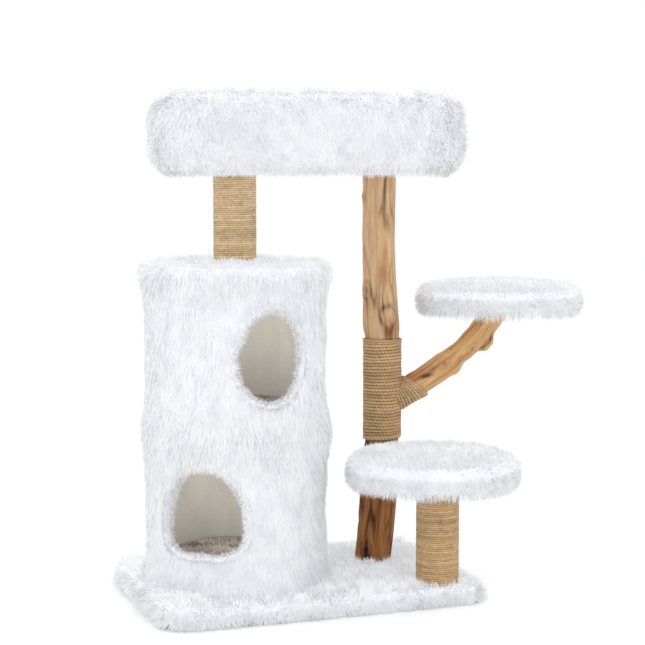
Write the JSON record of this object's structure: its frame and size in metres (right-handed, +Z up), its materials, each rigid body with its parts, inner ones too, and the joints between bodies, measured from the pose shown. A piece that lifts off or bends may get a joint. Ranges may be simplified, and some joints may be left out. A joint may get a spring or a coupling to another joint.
{
  "type": "cat tree",
  "caption": "Plush cat tree: two-storey round condo, rope posts, natural wood trunk with a branch, round platforms and an oval bed on top.",
  "frame": {"origin": "middle of the base's underside, on the floor", "axes": "+Z up, +X along the base's long side to the right as seen from the front, -Y towards the front where the short post stands"},
  "size_m": [0.8928, 0.5508, 0.947],
  "materials": {
    "plush": "long-pile white plush",
    "lining": "thin beige-grey non-woven lining",
    "mat": "short grey-beige pile",
    "sheet": "black non-woven sheet",
    "board": "raw particle board",
    "cardboard": "brown spiral-wound paper tube",
    "post_rope": "fine straw-coloured jute rope, closely wound",
    "wrap_rope": "khaki jute rope, wound",
    "wood": "peeled, sanded and matt-lacquered trunk",
    "branch_wood": "peeled, sanded golden branch",
    "dark_wood": "dark fluted trunk with grooves",
    "foam": "foam and fibre filling",
    "steel": "zinc-plated steel"
  },
  "bodies": {
    "root": {"base_board": "board", "base_plush_cover": "plush", "base_underside_sheet": "sheet", "condo_floor_board": "board", "condo_mid_board": "board", "condo_top_board": "board", "lower_condo_wall": "cardboard", "upper_condo_wall": "cardboard", "lower_condo_lining": "lining", "upper_condo_lining": "lining", "lower_condo_plush": "plush", "upper_condo_plush": "plush", "condo_top_plush": "plush", "lower_door_rim": "plush", "upper_door_rim": "plush", "lower_den_mat": "mat", "upper_den_mat": "mat", "tall_post_core": "cardboard", "tall_post_rope": "post_rope", "tall_post_bottom_plug": "board", "tall_post_top_plug": "board", "short_post_core": "cardboard", "short_post_rope": "post_rope", "short_post_bottom_plug": "board", "short_post_top_plug": "board", "lower_trunk": "dark_wood", "upper_trunk": "wood", "branch": "branch_wood", "trunk_rope_wrap": "wrap_rope", "branch_rope_collar": "wrap_rope", "bed_board": "board", "bed_bolster": "foam", "bed_plush_cover": "plush", "bed_cushion": "plush", "lower_platform_board": "board", "lower_platform_pad": "foam", "lower_platform_cover": "plush", "lower_platform_underside": "plush", "upper_platform_board": "board", "upper_platform_pad": "foam", "upper_platform_cover": "plush", "upper_platform_underside": "plush", "trunk_foot_bolt": "steel", "trunk_foot_washer": "steel", "short_post_foot_bolt": "steel", "short_post_foot_washer": "steel", "condo_screw_1": "steel", "condo_screw_2": "steel", "condo_screw_3": "steel", "tall_post_foot_bolt": "steel", "tall_post_foot_washer": "steel", "tall_post_head_bolt": "steel", "trunk_head_bolt": "steel", "lower_platform_bolt": "steel", "lower_platform_washer": "steel", "upper_platform_bolt": "steel", "upper_platform_washer": "steel", "trunk_joint_stud": "steel", "branch_lag_screw": "steel"}
  },
  "joints": []
}
